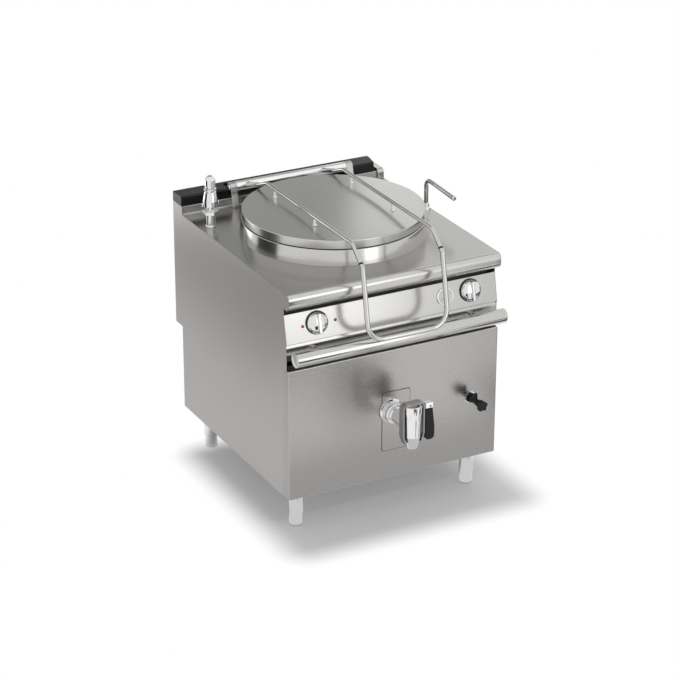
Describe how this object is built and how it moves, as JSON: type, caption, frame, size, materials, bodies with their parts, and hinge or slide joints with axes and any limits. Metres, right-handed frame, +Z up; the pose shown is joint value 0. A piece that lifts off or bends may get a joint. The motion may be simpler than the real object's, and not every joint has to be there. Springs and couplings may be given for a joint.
{
  "type": "steam jacketed kettle",
  "caption": "Floor-standing steam jacketed boiling kettle: stainless housing on adjustable feet, round vessel with hinged lid and long U handle, swivel spout, drain tap, knobs and handrail",
  "frame": {"origin": "on the floor, below the centre of the bounding box", "axes": "+Z up, +X to the right as seen by someone at the controls, -Y toward that person; the drain tap and handrail are at -Y, the lid's hinge at +Y"},
  "size_m": [0.8, 1.066, 1.067],
  "materials": {
    "satin_steel": "satin brushed stainless steel",
    "polished_steel": "polished stainless steel",
    "chrome": "bright chrome plating",
    "black_enamel": "black enamelled steel",
    "dark_sheet": "dark painted sheet in the shadow gaps",
    "black_plastic": "black heat-proof plastic",
    "rubber": "grey silicone rubber",
    "red_lens": "red translucent lamp lens",
    "gauge_face": "white dial behind a clear window in a steel case",
    "plain_steel": "plain stainless steel inside the housing"
  },
  "bodies": {
    "housing": {"base_pan": "plain_steel", "cock_body": "black_plastic", "condensate_pipe": "plain_steel", "control_panel": "satin_steel", "drain_pipe": "plain_steel", "drain_plate": "satin_steel", "drain_union": "chrome", "flue_cover": "black_enamel", "foot_sleeve_front_left": "polished_steel", "foot_sleeve_front_right": "polished_steel", "foot_sleeve_rear_left": "polished_steel", "foot_sleeve_rear_right": "polished_steel", "front_panel": "satin_steel", "handrail": "polished_steel", "handrail_post_left": "satin_steel", "handrail_post_right": "satin_steel", "hinge_bracket_left": "polished_steel", "hinge_bracket_right": "polished_steel", "hinge_shaft": "plain_steel", "kettle_collar": "polished_steel", "kettle_vessel": "polished_steel", "knob_bezel_left": "black_plastic", "knob_bezel_right": "black_plastic", "lamp_left": "red_lens", "lamp_right": "red_lens", "pressure_gauge": "gauge_face", "rear_panel": "satin_steel", "rear_upstand": "satin_steel", "recess_panel": "dark_sheet", "safety_valve_stem": "chrome", "side_panel_left": "satin_steel", "side_panel_right": "satin_steel", "spout_base": "chrome", "steam_jacket": "plain_steel", "switch_left": "black_plastic", "switch_right": "black_plastic", "tap_body": "chrome", "tap_yoke": "chrome", "worktop": "satin_steel"},
    "lid_assembly": {"hinge_tube": "chrome", "lid_arm_left": "chrome", "lid_arm_right": "chrome", "lid_post_front_left": "chrome", "lid_post_front_right": "chrome", "lid_post_rear_left": "chrome", "lid_post_rear_right": "chrome", "lid": "polished_steel", "lid_gasket": "rubber", "lid_handle": "chrome"},
    "spout_body": {"spout": "chrome"},
    "safety_valve_top": {"safety_valve_head": "chrome"},
    "tap_handle": {"tap_lever": "chrome", "tap_grip": "black_plastic"},
    "cock_handle": {"cock_knob": "black_plastic"},
    "left_knob": {"knob_left": "chrome"},
    "right_knob": {"knob_right": "chrome"},
    "foot_body_front_left": {"foot_front_left": "polished_steel"},
    "foot_body_front_right": {"foot_front_right": "polished_steel"},
    "foot_body_rear_left": {"foot_rear_left": "polished_steel"},
    "foot_body_rear_right": {"foot_rear_right": "polished_steel"}
  },
  "joints": [
    {"name": "lid_hinge", "type": "hinge", "parent": "housing", "child": "lid_assembly", "pos_m": [0.0265, 0.465, 0.95], "axis": [-1, 0, 0], "range_deg": [0, 85]},
    {"name": "spout_swivel", "type": "hinge", "parent": "housing", "child": "spout_body", "pos_m": [0.378, 0.11, 0.908], "axis": [0, 0, 1], "range_deg": [-60, 180]},
    {"name": "safety_valve_turn", "type": "hinge", "parent": "housing", "child": "safety_valve_top", "pos_m": [-0.3565, 0.315, 0.946], "axis": [0, 0, 1], "range_deg": [0, 90]},
    {"name": "tap_lever_turn", "type": "hinge", "parent": "housing", "child": "tap_handle", "pos_m": [0.0265, -0.502, 0.458], "axis": [-1, 0, 0], "range_deg": [0, 90]},
    {"name": "cock_knob_turn", "type": "hinge", "parent": "housing", "child": "cock_handle", "pos_m": [0.296, -0.425, 0.37], "axis": [0, -1, 0], "range_deg": [0, 270]},
    {"name": "knob_left_turn", "type": "hinge", "parent": "housing", "child": "left_knob", "pos_m": [-0.283, -0.33348, 0.759], "axis": [0, -0.9802, 0.198], "range_deg": [-270, 0]},
    {"name": "knob_right_turn", "type": "hinge", "parent": "housing", "child": "right_knob", "pos_m": [0.298, -0.33348, 0.759], "axis": [0, -0.9802, 0.198], "range_deg": [-270, 0]},
    {"name": "foot_screw_front_left", "type": "slide", "parent": "housing", "child": "foot_body_front_left", "axis": [0, 0, -1], "range_m": [0, 0.05]},
    {"name": "foot_screw_front_right", "type": "slide", "parent": "housing", "child": "foot_body_front_right", "axis": [0, 0, -1], "range_m": [0, 0.05]},
    {"name": "foot_screw_rear_left", "type": "slide", "parent": "housing", "child": "foot_body_rear_left", "axis": [0, 0, -1], "range_m": [0, 0.05]},
    {"name": "foot_screw_rear_right", "type": "slide", "parent": "housing", "child": "foot_body_rear_right", "axis": [0, 0, -1], "range_m": [0, 0.05]}
  ]
}
